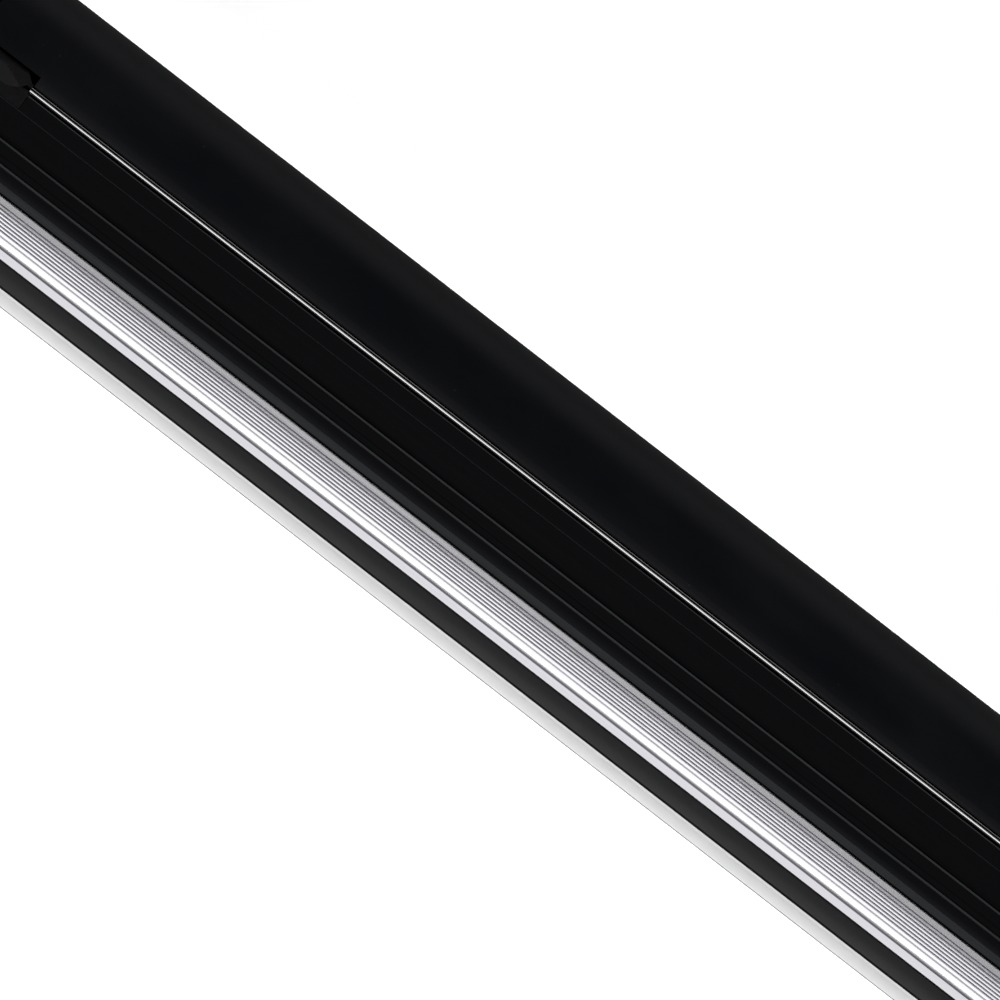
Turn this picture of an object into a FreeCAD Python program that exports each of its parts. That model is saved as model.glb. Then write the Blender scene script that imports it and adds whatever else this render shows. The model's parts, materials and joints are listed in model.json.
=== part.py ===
"""LED strip batten: a straight stage light that stands or hangs on two tilt brackets.

Frame: millimetres, X along the batten, light leaves towards -Y, +Z up, origin on the floor under the middle.
Cross-section sizes are (y, z) pairs with z counted from the middle of the body's height.
"""
import FreeCAD
import Part
import math
import os

V = FreeCAD.Vector

# Overall
LENGTH = 1000.0
CAP_DEPTH = 32.0
GASKET = 1.0
BODY_END = LENGTH / 2 - CAP_DEPTH - GASKET
CAP_START = LENGTH / 2 - CAP_DEPTH
HALF_HEIGHT = 31.0
PIVOT_HEIGHT = 50.0
PIVOT_DROP = 22.0
BODY_BOTTOM = PIVOT_HEIGHT + PIVOT_DROP
MID_Z = BODY_BOTTOM + HALF_HEIGHT

# Hinge rod and rear covers
ROD_Y = 13.15
ROD_Z = 30.0
ROD_R = 1.0
POCKET_R = 2.2
LIP_R = (1.15, 1.9)
SKIN = 2.0
SHOULDER_Y = ROD_Y + 3.3
SHOULDER_Z = 8.8
SHOULDER_R = HALF_HEIGHT - SHOULDER_Z
BACK_Y = SHOULDER_Y + SHOULDER_R
COVER_EDGE_Y = ROD_Y + 1.3
COVER_FOOT_Y = ROD_Y + 0.6
COVER_START = 50.5

# Centre housing and knuckle
HOUSING_HALF = 50.0
ROD_START = 70.0
BARREL_R = 3.5
NOTCH = 4.0
PLATE_T = 1.2
FOOT_END = ROD_START + 0.5
FOOT_EDGES = (0.6, 5.6)
FASCIA_Y = BACK_Y + 2.0
FASCIA_HALF = (44.0, 14.0)
BUTTON_X = (6.0, 16.0, 26.0, 36.0)
BUTTON_R = 3.2

# Body, heat sink, front
WEB_REAR = -9.75
BODY_FRONT = 25.4
SINK_END = 38.2
WEB_FRONT = -16.5
LEDGE = (-24.0, -22.5)
FLUTES = 7
FLUTE_FIRST = 27.25
FLUTE_PITCH = 0.86
FLUTE_HALF = 0.28
FLUTE_DEPTH = 0.45
FRONT_Y = ROD_Y - 47.8
PORT_Y = (-6.0, 6.0)
PORT_Z = 24.3
PORT_R = 4.2

# LEDs
LEDS = 24
LED_PITCH = 38.5
BOARDS = 3
BOARD_LENGTH = 308.0
BOARD_GAP = 0.4
LED_WIRE_HOLE = (446.0, -14.0)

# End caps and connectors
CAP_WALL = 3.0
BAY_FLOOR = LENGTH / 2 - 6.0
CAP_INNER = BAY_FLOOR - 4.0
POWER_Y = 16.0
DATA_Y = -12.0
FLANGE = (26.0, 31.0, 2.5)
BODY_R = 11.8
FLANGE_SCREWS = (9.8, 12.3)

# Brackets
BRACKET_X = 430.0
MOUNT_HALF = 20.5
MOUNT_SCREWS = (15.5, 6.0)
MOUNT_SEAT = 3.8
LUG_HALF = 10.0
LUG_R = 11.0
EAR_T = 3.0
EAR_R = 13.0
WASHER_T = 0.9
BASE = (28.0, 100.0, 3.0)
PAD_T = 2.0
BOLT_R = 3.95
KNOB_R = 14.0
KNOB_T = 16.0
FASTENER_X = (90.0, 395.0)
FASTENER_Z = -3.5
FASTENER_SINK = 2.0
FASTENER_DISH_R = 7.0
EYE_SCREW_X = 16.0


def front(w):
    """The y of a line w millimetres in front of the rod."""
    return ROD_Y - w


def at(y, z, x=0.0):
    return V(x, y, MID_Z + z)


def section(*steps):
    """Closed face across the batten; a step of two points is an arc through the first."""
    here = at(*steps[0])
    edges = []
    for step in steps[1:] + steps[:1]:
        if isinstance(step[0], tuple):
            middle = at(*step[0])
            end = at(*step[1])
            edges.append(Part.Arc(here, middle, end).toShape())
        else:
            end = at(*step)
            if end.distanceToPoint(here) > 1e-6:
                edges.append(Part.makeLine(here, end))
        here = end
    return Part.Face(Part.Wire(edges))


def bar(face, x0, x1):
    return face.translated(V(x0, 0, 0)).extrude(V(x1 - x0, 0, 0))


def block(x, y, z):
    """Box from three (low, high) pairs, z counted from the middle of the body."""
    return Part.makeBox(x[1] - x[0], y[1] - y[0], z[1] - z[0], at(y[0], z[0], x[0]))


def rod(radius, start, length, axis):
    return Part.makeCylinder(radius, length, start, axis)


def fuse(shapes):
    shapes = list(shapes)
    if len(shapes) == 1:
        return shapes[0]
    return shapes[0].fuse(shapes[1:]).removeSplitter()


def group(shapes):
    return Part.makeCompound(list(shapes))


def mirror_x(shape):
    return shape.mirror(V(0, 0, 0), V(1, 0, 0))


def both_ends(shape):
    return [shape, mirror_x(shape)]


def on_circle(y, z, radius, degrees):
    angle = math.radians(degrees)
    return (y + radius * math.cos(angle), z + radius * math.sin(angle))


def plan(points, z0, z1):
    """Upright prism from (x, y) points, z counted from the middle of the body."""
    corners = [V(x, y, MID_Z + z0) for x, y in points]
    return Part.Face(Part.makePolygon(corners + corners[:1])).extrude(V(0, 0, z1 - z0))


# ---------------------------------------------------------------- rear covers and centre housing

def cover_face():
    """Round-backed shell whose top edge curls round the hinge rod."""
    inner = SHOULDER_R - SKIN
    edge_drop = 0.2
    shell = section(
        (COVER_EDGE_Y, HALF_HEIGHT - SKIN),
        (COVER_EDGE_Y, HALF_HEIGHT - edge_drop - 0.15),
        (COVER_EDGE_Y + 0.1, HALF_HEIGHT - edge_drop),
        (((COVER_EDGE_Y + 0.1 + SHOULDER_Y) / 2, HALF_HEIGHT - edge_drop / 4), (SHOULDER_Y, HALF_HEIGHT)),
        (on_circle(SHOULDER_Y, SHOULDER_Z, SHOULDER_R, 45), (BACK_Y, SHOULDER_Z)),
        (BACK_Y, -SHOULDER_Z),
        (on_circle(SHOULDER_Y, -SHOULDER_Z, SHOULDER_R, -45), (SHOULDER_Y, -HALF_HEIGHT)),
        (COVER_FOOT_Y, -HALF_HEIGHT),
        (COVER_FOOT_Y, SKIN - HALF_HEIGHT),
        (SHOULDER_Y, SKIN - HALF_HEIGHT),
        (on_circle(SHOULDER_Y, -SHOULDER_Z, inner, -45), (BACK_Y - SKIN, -SHOULDER_Z)),
        (BACK_Y - SKIN, SHOULDER_Z),
        (on_circle(SHOULDER_Y, SHOULDER_Z, inner, 45), (SHOULDER_Y, HALF_HEIGHT - SKIN)),
    )
    return shell


def hinge_lip_face():
    small, large = LIP_R
    first, last = -150.0, 10.0
    middle = (first + last) / 2
    return section(
        on_circle(ROD_Y, ROD_Z, small, first),
        on_circle(ROD_Y, ROD_Z, large, first),
        (on_circle(ROD_Y, ROD_Z, large, middle), on_circle(ROD_Y, ROD_Z, large, last)),
        on_circle(ROD_Y, ROD_Z, small, last),
        (on_circle(ROD_Y, ROD_Z, small, middle), on_circle(ROD_Y, ROD_Z, small, first)),
    )


def knuckle_room():
    edge = ROD_START + 0.3
    return block((-edge, edge), (ROD_Y - 3.0, ROD_Y + NOTCH), (ROD_Z - 4.0, HALF_HEIGHT + 4.0))


def rear_cover():
    """The right-hand cover; the left one is its mirror image."""
    end = BODY_END - 0.5
    shell = fuse([bar(cover_face(), COVER_START, end), bar(hinge_lip_face(), COVER_START, end)])
    shell = shell.cut(knuckle_room())
    floor = BACK_Y - FASTENER_SINK
    for x in FASTENER_X:
        boss = rod(FASTENER_DISH_R + 1.5, at(floor - SKIN + 0.2, FASTENER_Z, x), SKIN + 0.5, V(0, 1, 0))
        dish = rod(FASTENER_DISH_R, at(floor, FASTENER_Z, x), 4, V(0, 1, 0))
        bore = rod(2.7, at(BACK_Y - 6, FASTENER_Z, x), 8, V(0, 1, 0))
        shell = shell.fuse(boss).cut(dish).cut(bore)
    return shell


def hinge_rod():
    return rod(ROD_R, at(ROD_Y, ROD_Z, ROD_START - 11.5), BODY_END + 7 - ROD_START + 11.5, V(1, 0, 0))


def control_housing():
    shell = bar(cover_face(), -HOUSING_HALF, HOUSING_HALF)
    half_x, half_z = FASCIA_HALF
    fascia = block((-half_x, half_x), (BACK_Y - 2.65, FASCIA_Y), (-half_z, half_z))
    rim = [e for e in fascia.Edges if all(v.Point.y > FASCIA_Y - 0.01 for v in e.Vertexes)]
    fascia = fascia.makeFillet(1.5, rim)
    shell = shell.fuse(fascia).cut(knuckle_room())
    shell = shell.cut(block((-38, -4), (FASCIA_Y - 1.5, FASCIA_Y + 1), (-9, 9)))
    shell = shell.cut(block((-36, -6), (BACK_Y - 4, FASCIA_Y), (-7, 7)))
    for x in BUTTON_X:
        shell = shell.cut(rod(BUTTON_R + 0.3, at(BACK_Y - 4, 0, x), 10, V(0, 1, 0)))
    pillars = [rod(2.2, at(32.6, z, x), 4.0, V(0, 1, 0)) for x in (-40, 40) for z in (-10, 10)]
    return fuse([shell] + pillars)


def display_window():
    return block((-37.85, -4.15), (FASCIA_Y - 1.5, FASCIA_Y - 0.1), (-8.85, 8.85))


def display_module():
    back = block((-37, -5), (32.6, 35.9), (-8, 8))
    glass = block((-35.5, -6.5), (35.9, FASCIA_Y - 1.7), (-6.5, 6.5))
    return fuse([back, glass])


def control_board():
    plate = block((-42, 42), (31.0, 32.6), (-13, 13))
    switches = [block((x - 3, x + 3), (32.6, 34.2), (-3, 3)) for x in BUTTON_X]
    return fuse([plate] + switches)


def menu_button(x):
    cap = rod(BUTTON_R, at(35.5, 0, x), FASCIA_Y + 1.0 - 35.5, V(0, 1, 0))
    rim = [e for e in cap.Edges if e.CenterOfMass.y > FASCIA_Y + 0.9]
    cap = cap.makeFillet(0.4, rim)
    flange = rod(BUTTON_R + 1.1, at(35.1, 0, x), 0.8, V(0, 1, 0))
    return fuse([cap, flange])


def fastener(x):
    """Quarter-turn fastener: slotted head in the cover's dish, stem through the cover, cross bar inside."""
    seat = BACK_Y - FASTENER_SINK + 0.1
    head = rod(6.0, at(seat, FASTENER_Z, x), 1.8, V(0, 1, 0))
    rim = [e for e in head.Edges if e.CenterOfMass.y > seat + 1.7]
    head = head.makeChamfer(0.5, rim)
    slot = block((x - 7, x + 7), (seat + 0.9, seat + 3), (FASTENER_Z - 0.7, FASTENER_Z + 0.7))
    stem = rod(2.5, at(32.6, FASTENER_Z, x), seat + 0.1 - 32.6, V(0, 1, 0))
    cross = block((x - 3, x + 3), (32.4, 33.6), (FASTENER_Z - 1, FASTENER_Z + 1))
    return fuse([head.cut(slot), stem, cross])


def knuckle():
    """Barrel round the rod line, with a sloping front facet and a tapered nose at each end."""
    y, z = ROD_Y, ROD_Z
    face = section(
        (y - 3.0, z + 1.0),
        (y + 1.5, z + 2.7),
        (y + 1.6, z + math.sqrt(BARREL_R ** 2 - 1.6 ** 2)),
        (on_circle(y, z, BARREL_R, 35), (y + BARREL_R, z)),
        (y + BARREL_R, z - 1.2),
        (y + 1.7, z - 1.2),
        (on_circle(y, z, 2.08, -90), (y - 1.7, z - 1.2)),
        (y - 1.3, z - 0.2),
        (y - 1.3, z + 1.0),
    )
    barrel = bar(face, -ROD_START, ROD_START)
    tip = ROD_START - 0.5
    front_cut = [(63.0, y - 3.0), (65.2, y - 2.6), (67.2, y - 1.4), (68.75, y + 0.5), (tip, y + 1.5),
                 (72.0, y + 1.5), (72.0, y - 7.0), (63.0, y - 7.0)]
    shelf_cut = [(66.75, y + 3.6), (tip, y + 1.5), (72.0, y + 1.5), (72.0, y + 5.0), (66.75, y + 5.0)]
    slope = [(52.0, z + 4.0), (ROD_START + 2, z + 1.2), (ROD_START + 2, z + 6.0), (52.0, z + 6.0)]
    corners = [V(x, y - 6, MID_Z + up) for x, up in slope]
    wedge = Part.Face(Part.makePolygon(corners + corners[:1])).extrude(V(0, 12, 0))
    for cutter in (plan(front_cut, z + 0.99, z + 5), plan(shelf_cut, z - 3, z + 5), wedge):
        barrel = barrel.cut(cutter).cut(mirror_x(cutter))
    near, far = FOOT_EDGES
    foot = block((-FOOT_END, FOOT_END), (front(far), front(near)), (HALF_HEIGHT - 1.1, HALF_HEIGHT - 0.08))
    plate = block((-40, 40), (front(12.6), front(3.0)), (HALF_HEIGHT, HALF_HEIGHT + PLATE_T))
    under = block((-40, 40), (front(12.6), front(6.1)), (HALF_HEIGHT - 0.5, HALF_HEIGHT))
    whole = fuse([barrel, foot, plate, under])
    for bore in (rod(1.05, at(y, z, ROD_START - 12), 14, V(1, 0, 0)), rod(1.35, at(y, z, ROD_START), 2, V(1, 0, 0))):
        whole = whole.cut(bore).cut(mirror_x(bore))
    for x in (-30, 0, 30):
        whole = whole.cut(screw_hole(at(front(9.3), HALF_HEIGHT + PLATE_T, x)))
    return whole


def screw_hole(top):
    return rod(1.6, top - V(0, 0, 4), 5, V(0, 0, 1)).fuse(Part.makeCone(1.6, 3.1, 1.5, top - V(0, 0, 1.5)))


def flat_screw(top, axis, length=8.0):
    """M3 countersunk screw whose head is flush at top; axis points out of the head."""
    shank = rod(1.5, top - axis * length, length, axis)
    head = Part.makeCone(1.5, 3.0, 1.5, top - axis * 1.5, axis)
    return fuse([shank, head]).cut(rod(1.0, top - axis * 1.0, 2, axis))


# ---------------------------------------------------------------- body, heat sink, front

def body_face():
    h = HALF_HEIGHT
    return section(
        (ROD_Y + 1.25, ROD_Z - 1.3),
        (front(1.4), ROD_Z - 1.3),
        (front(1.4), h - 0.02),
        (front(1.65), h - 0.12),
        (front(5.8), h - 0.12),
        (front(5.95), h - 0.2),
        (front(6.0), h - 0.5),
        (front(13.7), h - 0.5),
        (front(13.9), h + 0.6),
        (front(14.05), h + 0.65),
        (front(14.55), h + 0.43),
        (front(14.7), h + 0.28),
        (front(17.3), h + 0.28),
        (front(17.4), h + 0.42),
        (front(18.85), h + 0.34),
        (front(19.0), h + 0.6),
        (front(19.15), h + 0.62),
        (front(19.7), h + 0.38),
        (front(19.85), h + 0.28),
        ((front(21.4), h + 0.12), (front(22.95), h - 0.22)),
        (front(24.85), h - 0.95),
        (front(24.95), h - 1.1),
        (front(25.0), h - 2.4),
        (front(BODY_FRONT), h - 2.4),
        (front(BODY_FRONT), 2.4 - h),
        (front(25.0), 2.4 - h),
        (front(25.0), -h),
        (ROD_Y, -h),
        (ROD_Y, 2.4 - h),
        (ROD_Y + 3.85, 2.4 - h),
        (ROD_Y + 3.85, 4.4 - h),
        (ROD_Y - 2.15, 4.4 - h),
        (ROD_Y - 2.15, 3.0 - h),
        (WEB_REAR, 3.0 - h),
        (WEB_REAR, h - 3.0),
        (ROD_Y - 5.15, h - 3.0),
        (ROD_Y - 3.15, h - 5.5),
        (ROD_Y + 1.25, h - 5.5),
    )


def body_extrusion():
    channel = bar(body_face(), -BODY_END, BODY_END)
    ports = [rod(PORT_R, at(y, z, -BODY_END), 2 * BODY_END, V(1, 0, 0)) for y in PORT_Y for z in (-PORT_Z, PORT_Z)]
    channel = fuse([channel] + ports)
    for y in PORT_Y:
        for z in (-PORT_Z, PORT_Z):
            channel = channel.cut(rod(1.75, at(y, z, -BODY_END - 1), 2 * BODY_END + 2, V(1, 0, 0)))
    channel = channel.cut(rod(POCKET_R, at(ROD_Y, ROD_Z, -BODY_END - 1), 2 * BODY_END + 2, V(1, 0, 0))
                          .common(block((-LENGTH, LENGTH), (ROD_Y - 9, ROD_Y + 9), (ROD_Z - 9, ROD_Z))))
    edge = FOOT_END + 0.2
    channel = channel.cut(block((-edge, edge), (front(5.65), front(1.3)), (HALF_HEIGHT - 1.15, HALF_HEIGHT + 1)))
    for x in (-30, 0, 30):
        channel = channel.cut(rod(1.55, at(front(9.3), HALF_HEIGHT - 6, x), 8, V(0, 0, 1)))
    for sign in (-1, 1):
        for dx, y in mount_screw_places():
            channel = channel.cut(rod(2.5, at(y, -HALF_HEIGHT - 1, sign * BRACKET_X + dx), 5.5, V(0, 0, 1)))
    for x in (-EYE_SCREW_X, EYE_SCREW_X):
        channel = channel.cut(rod(2.5, at(0, -HALF_HEIGHT - 1, x), 5.5, V(0, 0, 1)))
    for x in post_places():
        channel = channel.cut(rod(2.0, at(WEB_REAR - 4, FASTENER_Z, x), 5, V(0, 1, 0)))
    channel = channel.cut(rod(5.0, at(WEB_REAR - 4, LED_WIRE_HOLE[1], LED_WIRE_HOLE[0]), 5, V(0, 1, 0)))
    return channel.cut(rod(5.0, at(2.0, -HALF_HEIGHT - 1, -200), 6, V(0, 0, 1)))


def post_places():
    return [sign * x for sign in (-1, 1) for x in FASTENER_X]


def sink_top():
    """Top outline of the heat sink from its rear edge to its front end."""
    top = HALF_HEIGHT - 0.5
    start = 26.9
    end = 33.05
    fall = 1.08

    def land(w):
        return top - fall * ((w - start) / (end - start)) ** 2

    steps = [(front(BODY_FRONT), top - 0.25), (front(BODY_FRONT + 0.25), top), (front(start), top)]
    for i in range(FLUTES):
        w = FLUTE_FIRST + i * FLUTE_PITCH
        steps += [(front(w - FLUTE_HALF), land(w - FLUTE_HALF)), (front(w), land(w) - FLUTE_DEPTH),
                  (front(w + FLUTE_HALF), land(w + FLUTE_HALF))]
    steps += [
        (front(end), land(end)),
        (front(33.3), top - 1.2),
        (front(33.75), top - 1.22),
        ((front(34.57), top - 1.50), (front(35.25), top - 2.05)),
        (front(35.35), top - 2.4),
        (front(36.0), top - 2.4),
        (front(36.05), top - 2.0),
        (front(37.2), top - 2.3),
        ((front(37.75), top - 2.5), (front(SINK_END), top - 2.85)),
    ]
    return steps


def upside_down(steps):
    """The same outline below the middle, walked the other way."""
    points = []
    for step in steps:
        if isinstance(step[0], tuple):
            points += [("mid", step[0]), ("end", step[1])]
        else:
            points.append(("end", step))
    points.reverse()
    out = []
    middle = None
    for kind, (y, z) in points:
        if kind == "mid":
            middle = (y, -z)
        elif middle is None:
            out.append((y, -z))
        else:
            out.append((middle, (y, -z)))
            middle = None
    return out


def heat_sink():
    top = sink_top()
    end = front(SINK_END)
    inner = [
        (end, 26.4), (LEDGE[0], 26.4), (LEDGE[0], 22.6), (LEDGE[1], 22.6), (LEDGE[1], 26.0), (WEB_FRONT, 26.0),
        (WEB_FRONT, -26.0), (LEDGE[1], -26.0), (LEDGE[1], -22.6), (LEDGE[0], -22.6), (LEDGE[0], -26.4), (end, -26.4),
    ]
    sink = bar(section(*(top + inner + upside_down(top))), -BODY_END, BODY_END)
    for x, z in board_screw_places():
        sink = sink.cut(rod(1.4, at(WEB_FRONT + 3.0, z, x), 4, V(0, -1, 0)))
    return sink.cut(rod(5.0, at(WEB_REAR, LED_WIRE_HOLE[1], LED_WIRE_HOLE[0]), 10, V(0, -1, 0)))


def retainer_strip(side):
    """Black lip that holds one long edge of the diffuser; side is 1 for the top, -1 for the bottom."""
    y = front(43.35)
    back = front(38.45)
    face = section(
        (back, 27.9),
        ((front(40.8), 27.3), (y, 26.4)),
        (y, 23.3),
        (y - 0.6, 23.3),
        (y - 0.6, 22.9),
        (y + 1.85, 22.9),
        (y + 1.85, 26.2),
        (back, 26.2),
    )
    strip = bar(face, -BODY_END, BODY_END)
    if side < 0:
        strip = strip.mirror(V(0, 0, MID_Z), V(0, 0, 1))
    return strip


def diffuser():
    """Opal trough: flat front with rounded edges, and a flange behind each lip."""
    r = 0.5
    wall = 2.0
    half = 22.6
    low = FRONT_Y + r
    flange = (-28.0, -25.9)
    upper = [
        (flange[1], 25.9), (flange[0], 25.9), (flange[0], half + 0.25), (front(43.97), half + 0.25), (front(44.5), half),
        (low, half),
        (on_circle(low, half - r, r, 135), (FRONT_Y, half - r)),
    ]
    inner_y = FRONT_Y + wall
    outer = upper + upside_down(upper)
    inner = [(flange[1], wall - half), (inner_y, wall - half), (inner_y, half - wall), (flange[1], half - wall)]
    return bar(section(*(outer + inner)), -BODY_END + 1, BODY_END - 1)


def diffuser_gasket():
    strip = block((-BODY_END + 1, BODY_END - 1), (-25.9, LEDGE[0]), (23.0, 25.6))
    return group([strip, strip.mirror(V(0, 0, MID_Z), V(0, 0, 1))])


# ---------------------------------------------------------------- LEDs

def led_places():
    return [(i - (LEDS - 1) / 2) * LED_PITCH for i in range(LEDS)]


def board_screw_places():
    places = []
    for i in range(LEDS - 1):
        if i % 2 == 0:
            x = led_places()[i] + LED_PITCH / 2
            places += [(x, -11.0), (x, 11.0)]
    return places


def board_slabs(y0, y1):
    slabs = []
    for i in range(BOARDS):
        start = (i - BOARDS / 2) * BOARD_LENGTH + BOARD_GAP / 2
        slabs.append(block((start, start + BOARD_LENGTH - BOARD_GAP), (y0, y1), (-15, 15)))
    for x, z in board_screw_places():
        slabs = [s.cut(rod(1.6, at(y1 + 1, z, x), 4, V(0, -1, 0))) for s in slabs]
    return group(slabs)


def led_chips():
    return group(block((x - 2.5, x + 2.5), (WEB_FRONT - 3.3, WEB_FRONT - 2.1), (-2.5, 2.5)) for x in led_places())


def lens_array():
    """Clear collimator cones over the LEDs, each on its own short foot ring."""
    base = WEB_FRONT - 2.1
    lenses = []
    for x in led_places():
        cone = Part.makeCone(5.0, 9.5, 9.0, at(base - 1.6, 0, x), V(0, -1, 0))
        foot = rod(5.0, at(base, 0, x), 1.6, V(0, -1, 0))
        rim = rod(10.5, at(base - 10.6, 0, x), 1.2, V(0, -1, 0))
        lens = fuse([foot, cone, rim]).cut(rod(4.2, at(base + 0.1, 0, x), 1.7, V(0, -1, 0)))
        lenses.append(lens)
    return group(lenses)


def board_screws():
    top = WEB_FRONT - 2.1
    screws = []
    for x, z in board_screw_places():
        head = rod(2.6, at(top, z, x), 1.6, V(0, -1, 0))
        shank = rod(1.35, at(WEB_FRONT + 2.4, z, x), WEB_FRONT + 2.4 - top + 0.1, V(0, -1, 0))
        screws.append(fuse([head, shank]))
    return group(screws)


# ---------------------------------------------------------------- inside the rear compartment

def supply_board():
    board = block((-370, -130), (-3.75, -2.15), (-20, 20))
    return board.cut(group(rod(1.6, at(-5, z, x), 5, V(0, 1, 0)) for x in (-362, -138) for z in (-15, 15)))


def driver_board():
    board = block((140, 360), (-3.75, -2.15), (-20, 20))
    chips = [block((x, x + 9), (-2.15, 0.0), (-4.5, 4.5)) for x in (170, 210, 250, 290)]
    holes = group(rod(1.6, at(-5, z, x), 5, V(0, 1, 0)) for x in (148, 352) for z in (-15, 15))
    return fuse([board] + chips).cut(holes)


def supply_transformer():
    core = block((-300, -264), (-2.15, 2.0), (-15, 15)).fuse(block((-300, -264), (18.0, 22.0), (-15, 15)))
    legs = [block((-300, -264), (2.0, 18.0), (z, z + 6)) for z in (-15, 9)]
    coil = rod(8.5, at(2.0, 0, -282), 16, V(0, 1, 0))
    return fuse([core, coil] + legs)


def supply_capacitors():
    return group(rod(8.0, at(-2.15, z, x), 24, V(0, 1, 0)) for x in (-235, -214) for z in (-9, 9))


def driver_inductors():
    rings = []
    for x in (190, 230, 270, 310):
        ring = rod(7.5, at(-2.15, -12, x), 7, V(0, 1, 0)).cut(rod(3.0, at(-3, -12, x), 9, V(0, 1, 0)))
        rings.append(ring)
    return group(rings)


def internal_standoffs():
    """Board spacers, and the long posts that the cover fasteners lock into."""
    spacers = []
    for x in (-362, -138, 148, 352):
        for z in (-15, 15):
            spacers.append(rod(3.0, at(WEB_REAR, z, x), 6.0, V(0, 1, 0)))
    for x in post_places():
        post = rod(5.5, at(WEB_REAR, FASTENER_Z, x), 33.6 - WEB_REAR, V(0, 1, 0))
        stud = rod(1.95, at(WEB_REAR - 2, FASTENER_Z, x), 2.1, V(0, 1, 0))
        cup = rod(4.2, at(30.6, FASTENER_Z, x), 4, V(0, 1, 0))
        spacers.append(fuse([post, stud]).cut(cup))
    return group(spacers)


def wire(points, radius, bend):
    """Round wire along straight runs joined by tangent arcs."""
    corners = [at(y, z, x) for x, y, z in points]
    edges = []
    here = corners[0]
    for before, corner, after in zip(corners, corners[1:], corners[2:]):
        into = (corner - before).normalize()
        out = (after - corner).normalize()
        turn = into.getAngle(out)
        cut = bend * math.tan(turn / 2)
        start = corner - into * cut
        end = corner + out * cut
        centre = corner + (out - into).normalize() * (bend / math.cos(turn / 2))
        middle = centre + (corner - centre).normalize() * bend
        edges += [Part.makeLine(here, start), Part.Arc(start, middle, end).toShape()]
        here = end
    edges.append(Part.makeLine(here, corners[-1]))
    ring = Part.Wire(Part.makeCircle(radius, corners[0], corners[1] - corners[0]))
    return Part.Wire(edges).makePipeShell([ring], True, False)


def mains_wires():
    """Three wires from the inlet to the outlet below the boards."""
    wires = []
    for i in range(3):
        y = 12.0 + i * 4.0
        low = -21.0
        end = 470.0
        run = 425.0
        wires.append(wire([(-end, y, -4), (-run - 20, y, -4), (-run, y, low), (run, y, low),
                           (run + 20, y, -4), (end, y, -4)], 1.2, 8.0))
    return group(wires)


def led_wires():
    """Two wires from the driver board to the hole in the web at the right-hand end."""
    wires = []
    for i in range(2):
        z = LED_WIRE_HOLE[1] - 1.7 + i * 3.4
        x = LED_WIRE_HOLE[0]
        wires.append(wire([(356, -0.9, z), (410, -0.9, z), (x, -4, z), (x, WEB_FRONT + 0.1, z)], 1.0, 2.5))
    return group(wires)


# ---------------------------------------------------------------- end caps and connectors

def cap_outline():
    shoulder = SHOULDER_R + 1.4
    right = (SHOULDER_Y + shoulder, SHOULDER_Z)
    upper = [
        (SHOULDER_Y, SHOULDER_Z + shoulder),
        (-14.0, 32.6),
        (-27.5, 30.2),
        (-33.4, 27.0),
        (-36.0, 23.0),
    ]
    lower = [(y, -z) for y, z in reversed(upper)]
    arc_up = (on_circle(SHOULDER_Y, SHOULDER_Z, shoulder, 45), upper[0])
    arc_down = (on_circle(SHOULDER_Y, -SHOULDER_Z, shoulder, -45), (right[0], -SHOULDER_Z))
    return section(right, arc_up, *(upper[1:] + lower + [arc_down]))


def end_cap():
    """The right-hand cap: a shell with a recessed bay for the connectors."""
    outline = cap_outline()
    shell = bar(outline, CAP_START, LENGTH / 2)
    rim = [e for e in shell.Edges if all(v.Point.x > LENGTH / 2 - 0.01 for v in e.Vertexes)]
    shell = shell.makeFillet(2.5, rim)
    inside = outline.makeOffset2D(-CAP_WALL)
    shell = shell.cut(bar(inside, CAP_START - 1, CAP_INNER))
    bay = block((BAY_FLOOR, LENGTH / 2 + 1), (-27.5, 31.5), (-18.5, 18.5))
    bay = bay.makeFillet(4.0, [e for e in bay.Edges if abs(e.Vertexes[0].Point.x - e.Vertexes[-1].Point.x) > 1])
    posts = [rod(4.6, at(y, z, CAP_START), CAP_INNER - CAP_START + 0.5, V(1, 0, 0))
             for y in PORT_Y for z in (-PORT_Z, PORT_Z)]
    bearing = block((CAP_START, CAP_START + 8), (ROD_Y - 3, ROD_Y + 3.5), (ROD_Z - 3, ROD_Z + 0.5))
    shell = fuse([shell, bearing] + posts).cut(bay)
    shell = shell.cut(rod(ROD_R + 0.05, at(ROD_Y, ROD_Z, CAP_START - 1), 7.2, V(1, 0, 0)))
    for y in PORT_Y:
        for z in (-PORT_Z, PORT_Z):
            shell = shell.cut(rod(2.15, at(y, z, CAP_START - 1), CAP_DEPTH + 2, V(1, 0, 0)))
            shell = shell.cut(rod(3.8, at(y, z, LENGTH / 2 - 4.5), 6, V(1, 0, 0)))
    for y in (POWER_Y, DATA_Y):
        shell = shell.cut(rod(12.0, at(y, 0, CAP_INNER - 1), 6, V(1, 0, 0)))
        for dy, dz in flange_holes():
            shell = shell.cut(rod(1.55, at(y + dy, dz, CAP_INNER - 1), 6, V(1, 0, 0)))
    return shell.cut(latch_slot(BAY_FLOOR + 1))


def flange_holes():
    dy, dz = FLANGE_SCREWS
    return [(-dy, dz), (dy, -dz)]


def cap_gasket():
    """Flat ring between a cap's rim and the ends of the extrusions."""
    outer = cap_outline().makeOffset2D(-1.6)
    inner = cap_outline().makeOffset2D(-4.2)
    ring = bar(outer, BODY_END, CAP_START).cut(bar(inner, BODY_END - 1, CAP_START + 1))
    return ring.cut(rod(ROD_R + 0.3, at(ROD_Y, ROD_Z, BODY_END - 1), 3, V(1, 0, 0)))


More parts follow.
